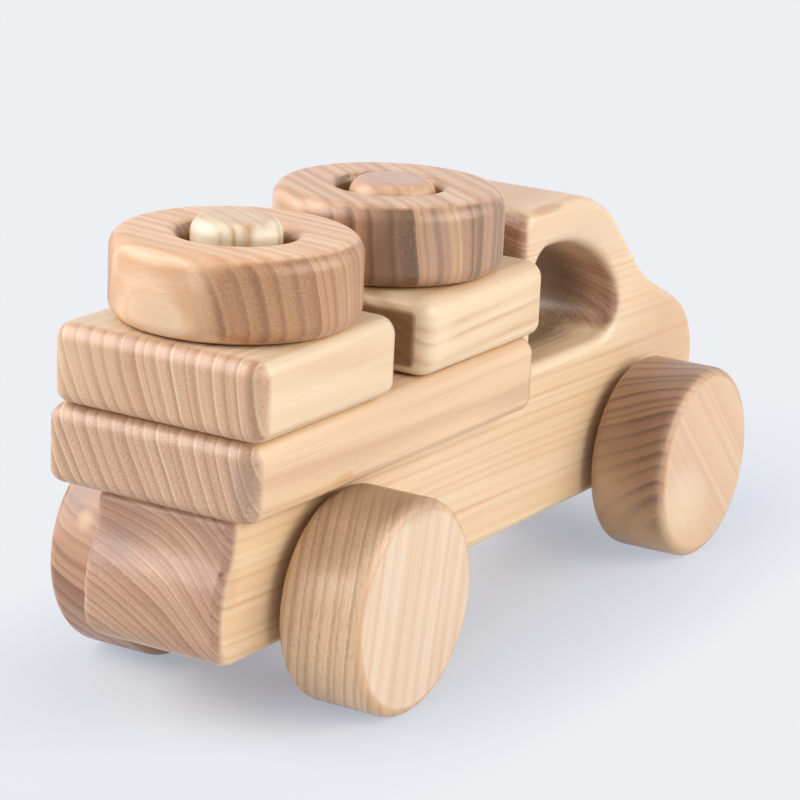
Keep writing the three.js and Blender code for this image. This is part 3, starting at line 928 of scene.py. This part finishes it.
# %% Camera
FOCAL_PIXELS, PICTURE_PIXELS, SENSOR = 3160.5, 800, 36.0
CAMERA_PLACE = (-565.024, -407.31, 280.461)
YAW, PITCH, ROLL = (math.radians(angle) for angle in (31.138, -15.872, 2.552))
start_piece()
bpy.ops.object.camera_add()
camera = bpy.context.object
camera.name = "photo_camera"
ahead = Vector((math.cos(PITCH) * math.cos(YAW), math.cos(PITCH) * math.sin(YAW), math.sin(PITCH)))
level = ahead.cross(Vector((0, 0, 1))).normalized()
steep = level.cross(ahead)
right = math.cos(ROLL) * level + math.sin(ROLL) * steep
up = -math.sin(ROLL) * level + math.cos(ROLL) * steep
turned = Matrix((right, up, -ahead)).transposed().to_4x4()
camera.matrix_world = Matrix.Translation(place(*CAMERA_PLACE)) @ turned
camera.data.sensor_width = SENSOR
camera.data.lens = FOCAL_PIXELS * SENSOR / PICTURE_PIXELS
bpy.context.scene.camera = camera
print("Lens in mm:", round(camera.data.lens, 1))

# %% [markdown]
# ## Floor
# The picture was taken on a bright pale sheet. Under plain paint the shadow would be too dark for it, and the
# floor would end in a line. So to the eye the sheet also glows with its own colour, which is painted light:
# only a part of it in an egg-shaped region round the car, with a cooler tint, which paints the soft shadow
# there lighter and bluer, and all of it further off, which hides the lamps' shadow there.
# region round the car, with a cooler tint, where the soft shadow lies, and all of it further off.

# %% Floor
SHEET = hex_colour("EDEFF3")
# painted light: near the car the glow lightens and cools the shadow, and further off it hides it
SHADE_GLOW, SHADE_TINT = 0.38, hex_colour("CDD5E7")
SHADE_MIDDLE, SHADE_REACH = -0.022, (0.16, 0.05, 1.0)  # metres along the car, across it and up
FADE_START, FADE_END = 0.4, 1.66
FLOOR_SIZE = 8


def seen_share(tree, share):
    """The share of a bright background that shows to the eye, in a shine and through glass."""
    path = add_node(tree, "LightPath")
    seen = path.outputs["Is Camera Ray"]
    for ray in ("Is Glossy Ray", "Is Transmission Ray"):
        seen = add_node(tree, "Math", {0: seen, 1: path.outputs[ray]}, operation="MAXIMUM").outputs[0]
    return add_node(tree, "Math", {0: seen, 1: share}, operation="MULTIPLY")


start_piece()
bpy.ops.mesh.primitive_plane_add(size=FLOOR_SIZE, location=(0, 0, 0))
floor = bpy.context.object
floor.name = "floor"
sheet = bpy.data.materials.new("matt pale paper")  # an even, shineless white that takes soft shadows
sheet.use_nodes = True
paper = sheet.node_tree
paper_shader = paper.nodes["Principled BSDF"]
paper_shader.inputs["Base Color"].default_value = hex_colour("DEE0DE")
paper_shader.inputs["Roughness"].default_value = 0.9
paper_place = add_node(paper, "TexCoord")
paper_near = add_node(paper, "Mapping", {
    "Vector": paper_place.outputs["Object"], "Location": (-SHADE_MIDDLE / SHADE_REACH[0], 0, 0),
    "Scale": [1 / reach for reach in SHADE_REACH]})
paper_away = add_node(paper, "VectorMath", {0: paper_near}, operation="LENGTH")
paper_fade = add_node(paper, "MapRange", {
    "Value": paper_away, "From Min": FADE_START, "From Max": FADE_END, "To Min": SHADE_GLOW})
paper_tint = stain(paper, SHADE_TINT, SHEET, paper_away, FADE_START, FADE_END, 1.0)
paper_glow = add_node(paper, "Emission", {"Color": paper_tint, "Strength": 1.0})
paper_mix = add_node(paper, "MixShader", {0: seen_share(paper, paper_fade), 1: paper_shader, 2: paper_glow})
paper.links.new(paper_mix.outputs[0], paper.nodes["Material Output"].inputs["Surface"])
floor.data.materials.append(sheet)
print("Floor in metres:", FLOOR_SIZE)

# %% [markdown]
# ## Lamps and room
# Two large soft lamps light the car, one high behind it on the left, and a wider one on its right, slightly
# ahead. Small lamps would give hard shadows and sharp spots of shine. Large ones leave soft pale bands on the
# rounded edges. The room adds a little bluish light in the shadows, and to the eye it has the sheet's colour.

# %% Lamps and room
CAR_MIDDLE = Vector((0, 0, 0.06))
LAMP_DISTANCE = 1.6
ROOM_LIGHT = 0.52


def add_lamp(name, towards, size, power, code):
    """A soft lamp, (width, height) in metres, that looks at the car from a direction."""
    start_piece()
    at = CAR_MIDDLE + LAMP_DISTANCE * Vector(towards).normalized()
    bpy.ops.object.light_add(type="AREA", location=at)
    lamp = bpy.context.object
    lamp.name = name
    lamp.rotation_euler = (CAR_MIDDLE - lamp.location).to_track_quat("-Z", "Y").to_euler()
    lamp.data.shape = "RECTANGLE"
    lamp.data.size, lamp.data.size_y = size
    lamp.data.energy = power
    lamp.data.color = hex_colour(code)[:3]


add_lamp("left_softbox", (-0.54, 0.67, 0.58), (1.7, 1.3), 32, "FFFAF6")
add_lamp("right_softbox", (0.25, -0.90, 0.42), (2.0, 1.2), 28, "FFFAF2")
world = bpy.data.worlds.new("pale room")
bpy.context.scene.world = world
world.use_nodes = True
room = world.node_tree
walls = room.nodes["Background"]
walls.inputs["Color"].default_value = hex_colour("DFE6FF")
walls.inputs["Strength"].default_value = ROOM_LIGHT
backdrop = add_node(room, "Background", {"Color": SHEET, "Strength": 1.0})
room_mix = add_node(room, "MixShader", {0: seen_share(room, 1.0), 1: walls, 2: backdrop})
room.links.new(room_mix.outputs[0], room.nodes["World Output"].inputs["Surface"])
bpy.context.scene.view_settings.view_transform = "Standard"
